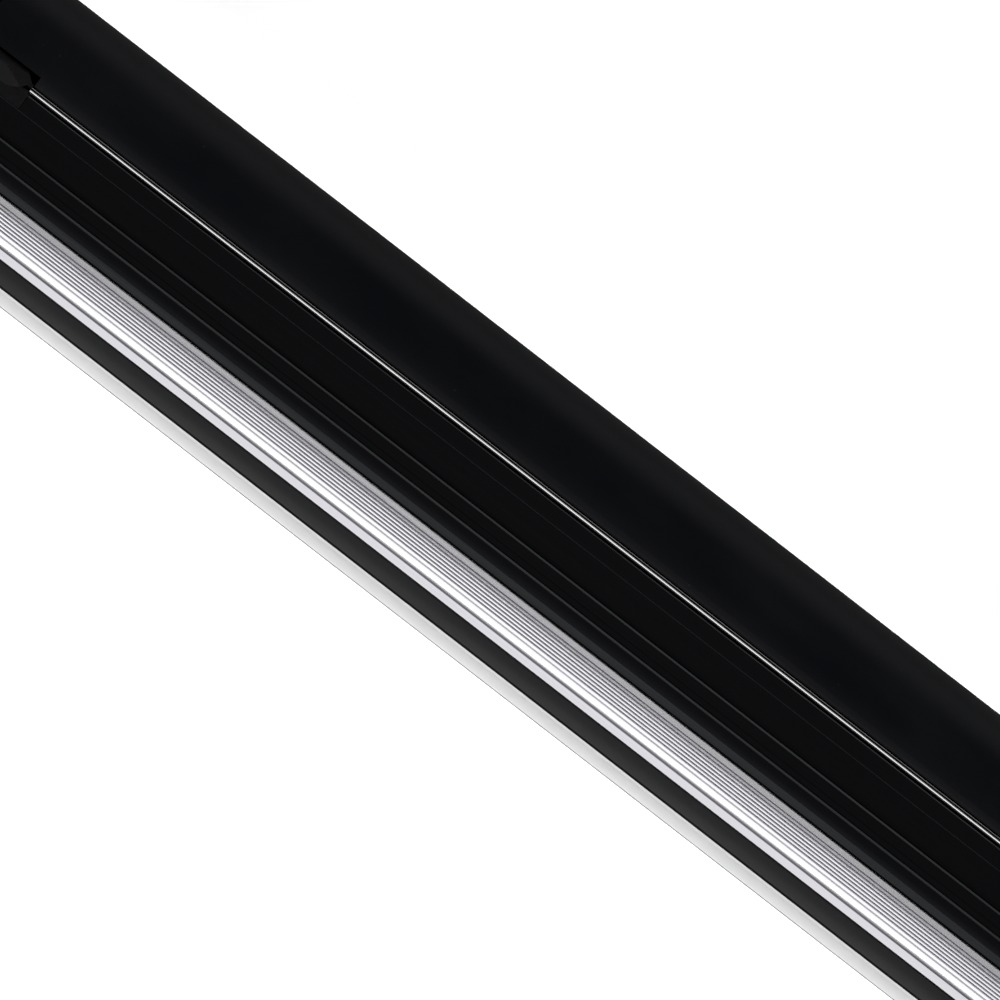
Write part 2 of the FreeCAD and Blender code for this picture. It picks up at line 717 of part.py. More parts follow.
def cap_screws():
    screws = []
    for y in PORT_Y:
        for z in (-PORT_Z, PORT_Z):
            seat = LENGTH / 2 - 4.5
            head = rod(3.5, at(y, z, seat), 3.2, V(1, 0, 0))
            socket = rod(1.6, at(y, z, seat + 1.4), 3, V(1, 0, 0))
            shank = rod(1.7, at(y, z, seat - 42), 42.1, V(1, 0, 0))
            screws += both_ends(fuse([head.cut(socket), shank]))
    return group(screws)


def flange(y):
    wide, tall, thick = FLANGE
    plate = block((BAY_FLOOR, BAY_FLOOR + thick), (y - wide / 2, y + wide / 2), (-tall / 2, tall / 2))
    plate = plate.makeFillet(2.5, [e for e in plate.Edges if abs(e.Vertexes[0].Point.x - e.Vertexes[-1].Point.x) > 1])
    for dy, dz in flange_holes():
        plate = plate.cut(rod(1.6, at(y + dy, dz, BAY_FLOOR - 1), thick + 2, V(1, 0, 0)))
        plate = plate.cut(Part.makeCone(1.6, 3.1, 1.5, at(y + dy, dz, BAY_FLOOR + thick - 1.5), V(1, 0, 0)))
    barrel = rod(BODY_R, at(y, 0, CAP_START + 5), BAY_FLOOR - CAP_START - 4.9, V(1, 0, 0))
    snout = rod(11.0, at(y, 0, BAY_FLOOR + thick - 0.1), 1.6, V(1, 0, 0))
    return fuse([plate, barrel, snout])


def power_connector(pins):
    """Round power connector: a deep ring-shaped socket round a central post."""
    y = POWER_Y
    mouth = BAY_FLOOR + FLANGE[2] + 1.6
    depth = 17.0
    body = flange(y)
    body = body.cut(rod(10.2, at(y, 0, mouth - depth), depth + 1, V(1, 0, 0)))
    post = rod(4.4, at(y, 0, mouth - depth - 0.1), depth - 2.0, V(1, 0, 0))
    body = fuse([body, post])
    for angle in (90, 210, 330):
        py, pz = on_circle(y, 0, 2.5, angle)
        if pins:
            body = body.fuse(rod(0.9, at(py, pz, mouth - 4), 3.4, V(1, 0, 0)))
        else:
            body = body.cut(rod(1.0, at(py, pz, mouth - 9), 8, V(1, 0, 0)))
    key = block((mouth - depth - 0.1, mouth - 3), (y - 1.5, y + 1.5), (-10.6, -4.0))
    return fuse([body, key])


def data_inlet():
    y = DATA_Y
    mouth = BAY_FLOOR + FLANGE[2] + 1.6
    depth = 15.0
    body = flange(y).cut(rod(8.0, at(y, 0, mouth - depth), depth + 1, V(1, 0, 0)))
    pins = [rod(1.0, at(*on_circle(y, 0, 5.0, 90 + 72 * i), mouth - depth - 1), 13.0, V(1, 0, 0)) for i in range(5)]
    return fuse([body] + pins)


def data_outlet():
    """Female data connector: five sockets, a ring-shaped groove, and a slot for the release tab."""
    y = DATA_Y
    mouth = BAY_FLOOR + FLANGE[2] + 1.6
    groove = rod(9.4, at(y, 0, mouth - 12), 13, V(1, 0, 0)).cut(rod(7.6, at(y, 0, mouth - 13), 15, V(1, 0, 0)))
    body = flange(y).cut(groove)
    for i in range(5):
        body = body.cut(rod(1.2, at(*on_circle(y, 0, 5.0, 90 + 72 * i), mouth - 10), 11, V(1, 0, 0)))
    return body.cut(latch_slot(mouth + 1))


def latch_slot(end):
    return block((CAP_INNER - 1, end), (DATA_Y - 3.3, DATA_Y + 3.3), (10.6, 14.4))


def data_outlet_latch():
    """Release tab that is pushed in to let the plug go."""
    y = DATA_Y
    top = BAY_FLOOR + FLANGE[2]
    tab = block((BAY_FLOOR - 1.2, top + 1.5), (y - 3.0, y + 3.0), (10.9, 14.1))
    rim = [e for e in tab.Edges if all(v.Point.x > top + 1.4 for v in e.Vertexes)]
    return tab.makeFillet(0.6, rim)


def connector_screws():
    screws = [flat_screw(at(front(9.3), HALF_HEIGHT + PLATE_T, x), V(0, 0, 1), 6.0) for x in (-30, 0, 30)]
    for y in (POWER_Y, DATA_Y):
        for dy, dz in flange_holes():
            screws += both_ends(flat_screw(at(y + dy, dz, BAY_FLOOR + FLANGE[2]), V(1, 0, 0), 6.4))
    return group(screws)


# ---------------------------------------------------------------- under the body

def mount_block():
    """Block screwed under the body at the right-hand bracket, with the lug that the bracket's bolt goes through."""
    x = BRACKET_X
    plate = block((x - MOUNT_HALF, x + MOUNT_HALF), (-LUG_R, LUG_R), (-HALF_HEIGHT - 6, -HALF_HEIGHT))
    lug = block((x - LUG_HALF, x + LUG_HALF), (-LUG_R, LUG_R), (-HALF_HEIGHT - PIVOT_DROP, -HALF_HEIGHT - 6))
    drop = -HALF_HEIGHT - PIVOT_DROP
    knee = rod(LUG_R, at(0, drop, x - LUG_HALF), 2 * LUG_HALF, V(1, 0, 0))
    whole = fuse([plate, lug, knee]).cut(rod(BOLT_R + 0.15, at(0, drop, x - 20), 40, V(1, 0, 0)))
    for dx, y in mount_screw_places():
        whole = whole.cut(rod(2.6, at(y, -HALF_HEIGHT - 7, x + dx), 8, V(0, 0, 1)))
        whole = whole.cut(rod(4.4, at(y, -HALF_HEIGHT - 20, x + dx), 20 - MOUNT_SEAT, V(0, 0, 1)))
    return whole


def mount_screw_places():
    across, deep = MOUNT_SCREWS
    return [(dx, y) for dx in (-across, across) for y in (-deep, deep)]


def mount_screws():
    screws = []
    places = [(sign * BRACKET_X + dx, y, MOUNT_SEAT) for sign in (-1, 1) for dx, y in mount_screw_places()]
    places += [(x, 0.0, 3.0) for x in (-EYE_SCREW_X, EYE_SCREW_X)]
    for x, y, grip in places:
        seat = -HALF_HEIGHT - grip
        head = rod(4.1, at(y, seat - 3.0, x), 3.0, V(0, 0, 1)).cut(rod(1.9, at(y, seat - 4, x), 2.8, V(0, 0, 1)))
        shank = rod(2.4, at(y, seat - 0.1, x), grip + 3.9, V(0, 0, 1))
        screws.append(fuse([head, shank]))
    return group(screws)


def safety_eye():
    base = block((-23, 23), (-10, 10), (-HALF_HEIGHT - 3, -HALF_HEIGHT))
    base = base.makeFillet(4.0, [e for e in base.Edges if abs(e.Vertexes[0].Point.z - e.Vertexes[-1].Point.z) > 1])
    lug = block((-10, 10), (-2, 2), (-HALF_HEIGHT - 16, -HALF_HEIGHT - 2.9))
    knee = rod(10.0, at(-2, -HALF_HEIGHT - 16), 4, V(0, 1, 0))
    whole = fuse([base, lug, knee]).cut(rod(6.5, at(-5, -HALF_HEIGHT - 16), 10, V(0, 1, 0)))
    for x in (-EYE_SCREW_X, EYE_SCREW_X):
        whole = whole.cut(rod(2.6, at(0, -HALF_HEIGHT - 4, x), 6, V(0, 0, 1)))
    return whole


def pressure_vent():
    x, y = -200.0, 2.0
    cap = rod(8.0, at(y, -HALF_HEIGHT - 4.0, x), 4.0, V(0, 0, 1))
    cap = cap.makeFillet(1.0, [e for e in cap.Edges if e.CenterOfMass.z < BODY_BOTTOM - 3.9])
    stem = rod(4.9, at(y, -HALF_HEIGHT - 0.1, x), 4.5, V(0, 0, 1))
    return fuse([cap, stem])


def ear(x0):
    wall = block((x0, x0 + EAR_T), (-EAR_R, EAR_R), (PAD_T - MID_Z, PIVOT_HEIGHT - MID_Z))
    tip = rod(EAR_R, V(x0, 0, PIVOT_HEIGHT), EAR_T, V(1, 0, 0))
    foot = BASE[2] + PAD_T
    points = [V(x0, -30, foot), V(x0, 30, foot), V(x0, EAR_R, foot + 20), V(x0, -EAR_R, foot + 20)]
    gusset = Part.Face(Part.makePolygon(points + points[:1])).extrude(V(EAR_T, 0, 0))
    return fuse([wall, tip, gusset])


def bracket():
    """The right-hand tilt bracket: floor plate with two ears."""
    wide, deep, thick = BASE
    x = BRACKET_X
    plate = Part.makeBox(wide, deep, thick, V(x - wide / 2, -deep / 2, PAD_T))
    plate = plate.makeFillet(6.0, [e for e in plate.Edges if abs(e.Vertexes[0].Point.z - e.Vertexes[-1].Point.z) > 1])
    whole = fuse([plate, ear(x - wide / 2), ear(x + wide / 2 - EAR_T)])
    whole = whole.cut(rod(BOLT_R + 0.1, V(x - 20, 0, PIVOT_HEIGHT), 40, V(1, 0, 0)))
    whole = whole.cut(rod(5.5, V(x, 0, PAD_T - 1), thick + 2, V(0, 0, 1)))
    for y in (-34, 34):
        whole = whole.cut(rod(3.25, V(x, y, PAD_T - 1), thick + 2, V(0, 0, 1)))
    return whole


def foot_pads():
    x = BRACKET_X
    pads = []
    for sign in (-1, 1):
        y = 43.5 * sign
        pad = Part.makeBox(BASE[0] - 4, 9, PAD_T, V(x - BASE[0] / 2 + 2, y - 4.5, 0))
        pads.append(pad.makeFillet(1.0, [e for e in pad.Edges if all(v.Point.z < 0.01 for v in e.Vertexes)]))
    return group(pads)


def pivot_bolt():
    """Hexagon bolt with a washer each side of the lug."""
    x = BRACKET_X
    half = BASE[0] / 2
    axis = V(1, 0, 0)
    corners = [V(x - half - 5.3, *on_circle(0, PIVOT_HEIGHT, 7.5, 60 * i)) for i in range(6)]
    head = Part.Face(Part.makePolygon(corners + corners[:1])).extrude(V(5.3, 0, 0))
    shank = rod(BOLT_R, V(x - half - 0.1, 0, PIVOT_HEIGHT), 2 * half + 0.1 + 1.0 + KNOB_T - 4, axis)
    washers = []
    for start in (x - LUG_HALF - WASHER_T - 0.05, x + LUG_HALF + 0.05):
        ring = rod(8.5, V(start, 0, PIVOT_HEIGHT), WASHER_T, axis)
        washers.append(ring.cut(rod(BOLT_R + 0.1, V(start - 1, 0, PIVOT_HEIGHT), 3, axis)))
    return group([fuse([head, shank])] + washers)


def knob():
    """Five-lobed clamp knob on the bolt's outer end."""
    start = BRACKET_X + BASE[0] / 2 + 0.5
    axis = V(1, 0, 0)
    body = rod(KNOB_R, V(start + 3, 0, PIVOT_HEIGHT), KNOB_T - 3, axis)
    for i in range(5):
        y, z = on_circle(0, PIVOT_HEIGHT, 18.6, 72 * i + 36)
        body = body.cut(rod(7.0, V(start, y, z), KNOB_T + 2, axis))
    rim = [e for e in body.Edges if all(v.Point.x > start + KNOB_T - 0.01 for v in e.Vertexes)]
    body = body.makeFillet(1.2, rim)
    hub = rod(8.0, V(start, 0, PIVOT_HEIGHT), 3.1, axis)
    return fuse([body, hub]).cut(rod(BOLT_R + 0.1, V(start - 1, 0, PIVOT_HEIGHT), KNOB_T - 1.5, axis))


def parts():
    """Every node by name."""
    nodes = {
        "body_extrusion": body_extrusion(),
        "heat_sink": heat_sink(),
        "retainer_strip_top": retainer_strip(1),
        "retainer_strip_bottom": retainer_strip(-1),
        "diffuser": diffuser(),
        "diffuser_gasket": diffuser_gasket(),
        "led_boards": board_slabs(WEB_FRONT - 2.1, WEB_FRONT - 0.5),
        "thermal_pads": board_slabs(WEB_FRONT - 0.5, WEB_FRONT),
        "led_chips": led_chips(),
        "lens_array": lens_array(),
        "board_screws": board_screws(),
        "end_cap_gaskets": group(both_ends(cap_gasket())),
        "end_cap_screws": cap_screws(),
        "control_housing": control_housing(),
        "display_window": display_window(),
        "display_module": display_module(),
        "control_board": control_board(),
        "hinge_knuckle": knuckle(),
        "power_supply_board": supply_board(),
        "supply_transformer": supply_transformer(),
        "supply_capacitors": supply_capacitors(),
        "driver_board": driver_board(),
        "driver_inductors": driver_inductors(),
        "internal_standoffs": internal_standoffs(),
        "mains_wires": mains_wires(),
        "led_wires": led_wires(),
        "power_inlet": mirror_x(power_connector(True)),
        "power_outlet": power_connector(False),
        "data_inlet": mirror_x(data_inlet()),
        "data_outlet": data_outlet(),
        "data_outlet_latch": data_outlet_latch(),
        "connector_screws": connector_screws(),
        "mount_block_screws": mount_screws(),
        "safety_eye": safety_eye(),
        "pressure_vent": pressure_vent(),
    }
    for name, shape in (("end_cap", end_cap()), ("rear_cover", rear_cover()), ("hinge_rod", hinge_rod()),
                        ("mount_block", mount_block()), ("bracket", bracket()), ("foot_pads", foot_pads()),
                        ("pivot_bolt", pivot_bolt()), ("clamp_knob", knob())):
        nodes[name + "_right"] = shape
        nodes[name + "_left"] = mirror_x(shape)
    for number, x in enumerate(BUTTON_X, 1):
        nodes[f"menu_button_{number}"] = menu_button(x)
    for side, sign in (("left", -1), ("right", 1)):
        for place, x in zip(("inner", "outer"), FASTENER_X):
            nodes[f"cover_fastener_{side}_{place}"] = fastener(sign * x)
    return nodes


def main():
    os.makedirs("parts", exist_ok=True)
    for name, shape in parts().items():
        if not shape.isValid():
            print("not valid:", name)
        shape.exportStep(f"parts/{name}.step")
        print(name, len(shape.Solids), round(shape.Volume))


main()
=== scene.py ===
"""Looks of the LED strip batten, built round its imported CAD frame.

Everything is in metres, in the CAD's own frame: X along the batten, Y toward the rear, Z up.
"""

import json
import math

import bmesh
import bpy
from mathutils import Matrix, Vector


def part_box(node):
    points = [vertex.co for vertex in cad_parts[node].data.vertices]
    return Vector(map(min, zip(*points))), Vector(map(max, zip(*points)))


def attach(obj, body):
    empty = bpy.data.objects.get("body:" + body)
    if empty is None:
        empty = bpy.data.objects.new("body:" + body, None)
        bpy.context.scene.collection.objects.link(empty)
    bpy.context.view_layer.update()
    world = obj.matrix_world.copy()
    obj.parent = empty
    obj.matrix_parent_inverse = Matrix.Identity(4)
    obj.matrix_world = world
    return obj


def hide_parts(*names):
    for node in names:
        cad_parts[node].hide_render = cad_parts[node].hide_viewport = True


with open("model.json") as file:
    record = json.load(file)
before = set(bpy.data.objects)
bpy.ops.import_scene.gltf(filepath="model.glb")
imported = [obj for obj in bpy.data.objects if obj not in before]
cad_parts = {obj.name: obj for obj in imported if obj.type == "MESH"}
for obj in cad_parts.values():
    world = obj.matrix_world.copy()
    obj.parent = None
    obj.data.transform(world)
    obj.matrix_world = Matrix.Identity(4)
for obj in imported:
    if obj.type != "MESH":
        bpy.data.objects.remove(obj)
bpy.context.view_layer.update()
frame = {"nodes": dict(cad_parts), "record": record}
NODES = frame["nodes"]

MM = 0.001
NOSE_TIP = 0.5 * MM               # from the knuckle's outermost point back to where the rod comes out

# the picture
BAR_TURN = math.atan(0.7755)      # how far the batten is turned in it
PICTURE_WIDTH = 0.250             # what it takes in, at the rod's height
MIDDLE_FROM_NOSE = 155.6 * MM     # its middle, along the batten from where the right-hand rod comes out
MIDDLE_FROM_ROD = 9.07 * MM       # its middle, in front of the rod
LENS = 300.0
SENSOR = 36.0

# bands of painted shade on two extruded pieces
GROOVE_FROM_FRONT = 2.34 * MM     # heat sink: its front face to the middle of the groove
GROOVE_HALF = 0.30 * MM
GROOVE_BLEND = 0.08 * MM
RIM_DEPTH = 0.30 * MM             # diffuser: how far the rim reaches behind the front face
RIM_START = 22.05 * MM            # and how far above and below the middle it starts

# display figures and button marks
FIGURE_HALF_WIDTH = 2.1 * MM
FIGURE_HALF_HEIGHT = 3.9 * MM
FIGURE_HALF_STROKE = 0.42 * MM
FIGURE_PITCH = 8.0 * MM
FIGURES_LIFT = 0.05 * MM          # off the display module's face
MARK_BELOW_BUTTON = 8.2 * MM      # centre to centre
MARK_HALF = 1.2 * MM
MARK_LINE_PITCH = 0.8 * MM
MARK_LINE_HALF = 0.16 * MM
MARK_RING = 1.0 * MM
MARK_RING_HALF = 0.17 * MM
MARKS_LIFT = 0.03 * MM            # off the housing's rear face

ROD_SEGMENTS = 96
ROD_CHAMFER = 0.12 * MM

# the room's glow: (height from 0, straight down, to 1, straight up; strength)
ROOM_GLOW = ((0.0, 0.06), (0.12, 0.11), (0.25, 0.28), (0.48, 0.80), (0.56, 0.72), (0.62, 0.34), (0.70, 0.07),
             (1.0, 0.04))
FLOOR_HALF = 40.0
PANEL_WATTS = 4.0                 # per square metre of a panel of strength 1


# ---------------------------------------------------------------- materials

class Graph:
    """One node material, with short calls for the nodes it is made of.

    rounding is the radius that its sharp edges are shaded with.
    """

    def __init__(self, name, rounding=0.0):
        self.rounding = rounding
        self.material = bpy.data.materials.new(name)
        self.material.use_nodes = True
        self.tree = self.material.node_tree
        self.shader = self.tree.nodes["Principled BSDF"]
        self.place = self.add("ShaderNodeTexCoord").outputs["Object"]

    def add(self, kind, **values):
        node = self.tree.nodes.new(kind)
        for key, value in values.items():
            setattr(node, key, value)
        return node

    def link(self, source, target):
        self.tree.links.new(source, target)

    def stretched(self, scale):
        mapping = self.add("ShaderNodeMapping")
        mapping.inputs["Scale"].default_value = scale
        self.link(self.place, mapping.inputs["Vector"])
        return mapping.outputs["Vector"]

    def noise(self, scale, stretch=(1, 1, 1), detail=4.0, roughness=0.5):
        node = self.add("ShaderNodeTexNoise")
        node.inputs["Scale"].default_value = scale
        node.inputs["Detail"].default_value = detail
        node.inputs["Roughness"].default_value = roughness
        self.link(self.stretched(stretch), node.inputs["Vector"])
        return node.outputs["Fac"]

    def cells(self, scale):
        node = self.add("ShaderNodeTexVoronoi")
        node.inputs["Scale"].default_value = scale
        self.link(self.stretched((1, 1, 1)), node.inputs["Vector"])
        return node.outputs["Distance"]

    def remap(self, value, low, high, to_low, to_high):
        node = self.add("ShaderNodeMapRange")
        self.link(value, node.inputs["Value"])
        for key, number in (("From Min", low), ("From Max", high), ("To Min", to_low), ("To Max", to_high)):
            node.inputs[key].default_value = number
        return node.outputs["Result"]

    def blend_colours(self, factor, first, second):
        """first and second are each a colour or another node's output."""
        node = self.add("ShaderNodeMix", data_type="RGBA")
        self.link(factor, node.inputs["Factor"])
        for socket, value in ((node.inputs[6], first), (node.inputs[7], second)):
            if isinstance(value, bpy.types.NodeSocket):
                self.link(value, socket)
            else:
                socket.default_value = (*value, 1.0)
        return node.outputs[2]

    def blend_values(self, factor, first, second):
        """From first, another node's output, to the number second."""
        node = self.add("ShaderNodeMix", data_type="FLOAT")
        self.link(factor, node.inputs["Factor"])
        self.link(first, node.inputs[2])
        node.inputs[3].default_value = second
        return node.outputs[0]

    def times(self, first, second):
        node = self.add("ShaderNodeMath", operation="MULTIPLY")
        self.link(first, node.inputs[0])
        self.link(second, node.inputs[1])
        return node.outputs[0]

    def slab(self, axis, low, high, soft):
        """1 between two places along one axis, 0 outside, blending over soft to each side."""
        split = self.add("ShaderNodeSeparateXYZ")
        self.link(self.place, split.inputs["Vector"])
        place = split.outputs[axis]
        rise = self.remap(place, low - soft, low + soft, 0.0, 1.0)
        return self.times(rise, self.remap(place, high - soft, high + soft, 1.0, 0.0))

    def bump(self, *layers):
        """Each layer is (height, strength, distance in metres)."""
        normal = None
        if self.rounding:
            soft_edge = self.add("ShaderNodeBevel", samples=4)
            soft_edge.inputs["Radius"].default_value = self.rounding
            normal = soft_edge.outputs["Normal"]
        for height, strength, distance in layers:
            node = self.add("ShaderNodeBump")
            node.inputs["Strength"].default_value = strength
            node.inputs["Distance"].default_value = distance
            self.link(height, node.inputs["Height"])
            if normal is not None:
                self.link(normal, node.inputs["Normal"])
            normal = node.outputs["Normal"]
        self.link(normal, self.shader.inputs["Normal"])

    def colour(self, output):
        self.link(output, self.shader.inputs["Base Color"])

    def roughness(self, output):
        self.link(output, self.shader.inputs["Roughness"])

    def set(self, **values):
        for key, value in values.items():
            self.shader.inputs[key.replace("_", " ")].default_value = value
        return self


def lacquer():
    """Deep black lacquer of the rear covers: faint orange peel, and a few specks of dust."""
    g = Graph("black_lacquer")
    cloud = g.noise(9.0, (0.4, 1, 1), 3)
    specks = g.remap(g.cells(160.0), 0.0, 0.05, 1.0, 0.0)
    base = g.blend_colours(cloud, (0.0006, 0.0007, 0.0010), (0.0010, 0.0011, 0.0015))
    g.colour(g.blend_colours(specks, base, (0.008, 0.008, 0.009)))
    g.roughness(g.remap(g.noise(60.0, (0.5, 1, 1)), 0.3, 0.7, 0.27, 0.36))
    g.bump((g.noise(700.0), 0.06, 0.0002))
    g.set(IOR=1.16)
    return g.material


def anodised_black():
    """Black anodised extrusion with faint drawing lines along its length."""
    g = Graph("black_anodised")
    lines = g.noise(900.0, (0.006, 1, 1), 3)
    cloud = g.noise(14.0, (0.3, 1, 1), 3)
    g.colour(g.blend_colours(cloud, (0.0006, 0.0006, 0.0007), (0.0010, 0.0010, 0.0011)))
    g.roughness(g.remap(lines, 0.3, 0.7, 0.20, 0.30))
    g.bump((lines, 0.10, 0.0001), (g.noise(2500.0), 0.05, 0.0001))
    g.set(IOR=1.115, Specular_Tint=(0.88, 0.92, 1.0, 1.0))
    return g.material


def bright_aluminium():
    """Bright anodised aluminium, drawn along its length, with painted shade: a darker colour from the groove
    beside the bead forward, darkest in the groove.
    """
    g = Graph("bright_aluminium")
    lines = g.noise(1500.0, (0.004, 1, 1), 4, 0.6)
    cloud = g.noise(25.0, (0.2, 1, 1), 3)
    shine = g.blend_colours(cloud, (0.475, 0.47, 0.495), (0.525, 0.52, 0.54))
    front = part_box("heat_sink")[0].y
    groove = front + GROOVE_FROM_FRONT
    # painted shade: the foot in front of the groove and the groove itself get darker colours by position,
    # standing in for shade
    foot_painted_shade = g.slab("Y", front - MM, groove - GROOVE_HALF, GROOVE_BLEND)
    groove_painted_shade = g.slab("Y", groove - GROOVE_HALF, groove + GROOVE_HALF, GROOVE_BLEND)
    shine_with_foot_shade = g.blend_colours(foot_painted_shade, shine, (0.36, 0.355, 0.375))
    g.colour(g.blend_colours(groove_painted_shade, shine_with_foot_shade, (0.18, 0.175, 0.19)))
    g.roughness(g.remap(lines, 0.25, 0.75, 0.16, 0.30))
    g.bump((lines, 0.12, 0.0001))
    g.set(Metallic=1.0)
    return g.material


def polished_steel():
    g = Graph("polished_steel")
    lines = g.noise(1800.0, (0.01, 1, 1), 3)
    g.colour(g.blend_colours(lines, (0.46, 0.46, 0.47), (0.52, 0.52, 0.52)))
    g.roughness(g.remap(lines, 0.3, 0.7, 0.03, 0.06))
    g.bump((lines, 0.02, 0.00005))
    g.set(Metallic=1.0)
    return g.material


def plated_steel():
    """Zinc-plated screws, bolts and posts."""
    g = Graph("plated_steel", 0.2 * MM)
    cloud = g.noise(350.0, detail=5)
    g.colour(g.blend_colours(cloud, (0.42, 0.43, 0.46), (0.60, 0.60, 0.61)))
    g.roughness(g.remap(cloud, 0.3, 0.7, 0.22, 0.42))
    g.bump((g.noise(1800.0), 0.12, 0.0001))
    g.set(Metallic=1.0)
    return g.material


def powder_coat(name, low, high):
    """Fine-textured black powder coat."""
    g = Graph(name, 0.6 * MM)
    cloud = g.noise(30.0, detail=3)
    g.colour(g.blend_colours(cloud, low, high))
    g.roughness(g.remap(g.noise(400.0), 0.3, 0.7, 0.42, 0.58))
    g.bump((g.noise(1400.0, detail=2), 0.35, 0.00025), (g.cells(900.0), 0.15, 0.0002))
    g.set(IOR=1.35)
    return g.material


def moulding(name, low, high, grain=0.25, ior=1.35):
    """Moulded plastic with a fine spark-eroded grain."""
    g = Graph(name, 0.3 * MM)
    g.colour(g.blend_colours(g.noise(40.0, detail=3), low, high))
    g.roughness(g.remap(g.noise(500.0), 0.3, 0.7, 0.38, 0.52))
    g.bump((g.cells(1800.0), grain, 0.00012), (g.noise(3500.0), grain * 0.6, 0.0001))
    g.set(IOR=ior)
    return g.material


def rubber():
    g = Graph("seal_rubber")
    g.colour(g.blend_colours(g.noise(60.0), (0.012, 0.012, 0.012), (0.022, 0.022, 0.021)))
    g.roughness(g.remap(g.noise(300.0), 0.3, 0.7, 0.6, 0.8))
    g.bump((g.noise(1200.0), 0.3, 0.0003))
    return g.material


def diffuser_rim_painted_shade(g):
    """1 along the diffuser's two long front edges, where the sheet is bent; there its colour is darkened as
    painted shade.
    """
    low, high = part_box("diffuser")
    middle = (low.z + high.z) / 2
    near_front = g.slab("Y", low.y - MM, low.y + RIM_DEPTH, 0.04 * MM)
    flat_face = g.slab("Z", middle - RIM_START, middle + RIM_START, 0.15 * MM)
    return g.times(near_front, g.remap(flat_face, 0.0, 1.0, 1.0, 0.0))


def opal():
    """Milky acrylic: satin skin over a slightly cloudy body."""
    g = Graph("opal_acrylic")
    cloud = g.noise(18.0, (0.4, 1, 1), 3)
    body = g.blend_colours(cloud, (0.415, 0.415, 0.418), (0.455, 0.455, 0.455))
    painted_shade_rim = diffuser_rim_painted_shade(g)
    # painted shade: the rim along the long front edges gets a much darker colour than the body, and a rougher
    # skin
    g.colour(g.blend_colours(painted_shade_rim, body, (0.10, 0.10, 0.10)))
    satin = g.remap(g.noise(250.0), 0.3, 0.7, 0.30, 0.40)
    g.roughness(g.blend_values(painted_shade_rim, satin, 0.9))
    g.bump((g.noise(900.0), 0.05, 0.0002))
    g.set(Subsurface_Weight=0.35, Subsurface_Scale=0.004, Subsurface_Radius=(1.0, 1.0, 1.0))
    return g.material


def clear(name, low, high):
    g = Graph(name)
    smear = g.noise(80.0, detail=3)
    g.colour(g.blend_colours(smear, low, high))
    g.roughness(g.remap(smear, 0.3, 0.7, 0.03, 0.09))
    g.bump((g.noise(300.0), 0.02, 0.0001))
    g.set(Transmission_Weight=0.95, IOR=1.49)
    return g.material


def circuit():
    """White solder mask over faint copper tracks."""
    g = Graph("circuit_board")
    tracks = g.add("ShaderNodeTexBrick")
    tracks.inputs["Scale"].default_value = 120.0
    tracks.inputs["Mortar Size"].default_value = 0.03
    g.link(g.stretched((0.35, 1, 1)), tracks.inputs["Vector"])
    mask = g.blend_colours(g.noise(50.0), (0.74, 0.75, 0.72), (0.82, 0.82, 0.80))
    g.colour(g.blend_colours(tracks.outputs["Fac"], mask, (0.55, 0.58, 0.52)))
    g.roughness(g.remap(g.noise(200.0), 0.3, 0.7, 0.35, 0.5))
    g.bump((tracks.outputs["Fac"], 0.2, 0.0001))
    return g.material


def display_glass():
    g = Graph("display_black")
    g.colour(g.blend_colours(g.noise(90.0), (0.004, 0.006, 0.010), (0.008, 0.010, 0.016)))
    g.roughness(g.remap(g.noise(200.0), 0.3, 0.7, 0.08, 0.14))
    return g.material


def plain_part(name, low, high, rough=(0.4, 0.6), scale=120.0):
    """Small inner parts: two-tone surface with a light grain."""
    g = Graph(name)
    cloud = g.noise(scale)
    g.colour(g.blend_colours(cloud, low, high))
    g.roughness(g.remap(cloud, 0.3, 0.7, *rough))
    g.bump((g.noise(scale * 8), 0.2, 0.0002))
    return g.material


def glowing(name, colour, strength):
    g = Graph(name)
    shade = g.blend_colours(g.noise(400.0), colour, tuple(c * 0.8 for c in colour))
    g.colour(shade)
    g.link(shade, g.shader.inputs["Emission Color"])
    g.set(Emission_Strength=strength)
    return g.material


def floor_material():
    g = Graph("studio_floor")
    g.colour(g.blend_colours(g.noise(3.0, detail=2), (0.95, 0.95, 0.95), (0.97, 0.97, 0.97)))
    g.roughness(g.remap(g.noise(5.0), 0.3, 0.7, 0.85, 0.95))
    g.set(Specular_IOR_Level=0.1)
    return g.material


SLOTS = {
    "black_anodised": anodised_black(),
    "black_cover": lacquer(),
    "bright_aluminium": bright_aluminium(),
    "black_casting": powder_coat("black_casting", (0.008, 0.008, 0.009), (0.013, 0.013, 0.014)),
    "black_moulding": moulding("black_moulding", (0.0010, 0.0010, 0.0013), (0.0018, 0.0017, 0.0022),
                               ior=1.14),
    "button_plastic": moulding("button_plastic", (0.045, 0.045, 0.048), (0.060, 0.060, 0.064)),
    "connector_plastic": moulding("connector_plastic", (0.010, 0.010, 0.011), (0.018, 0.018, 0.019), 0.12),
    "polished_steel": polished_steel(),
    "zinc_steel": plated_steel(),
    "powder_coat": powder_coat("bracket_powder_coat", (0.009, 0.009, 0.010), (0.016, 0.016, 0.017)),
    "opal_acrylic": opal(),
    "clear_acrylic": clear("clear_acrylic", (0.90, 0.92, 0.94), (0.96, 0.97, 0.98)),
    "smoked_acrylic": clear("smoked_acrylic", (0.30, 0.31, 0.33), (0.36, 0.37, 0.39)),
    "seal_rubber": rubber(),
    "circuit_board": circuit(),
    "led_white": plain_part("led_white", (0.85, 0.72, 0.22), (0.92, 0.80, 0.35), (0.2, 0.35), 400.0),
    "display_black": display_glass(),
    "transformer_tape": plain_part("transformer_tape", (0.62, 0.46, 0.04), (0.78, 0.60, 0.08)),
    "capacitor_sleeve": plain_part("capacitor_sleeve", (0.010, 0.012, 0.035), (0.016, 0.018, 0.05),
                                   (0.2, 0.3)),
    "ferrite": plain_part("ferrite", (0.30, 0.12, 0.03), (0.42, 0.18, 0.05), (0.25, 0.4), 300.0),
    "wire_sleeve": plain_part("wire_sleeve", (0.010, 0.010, 0.011), (0.016, 0.016, 0.017)),
}


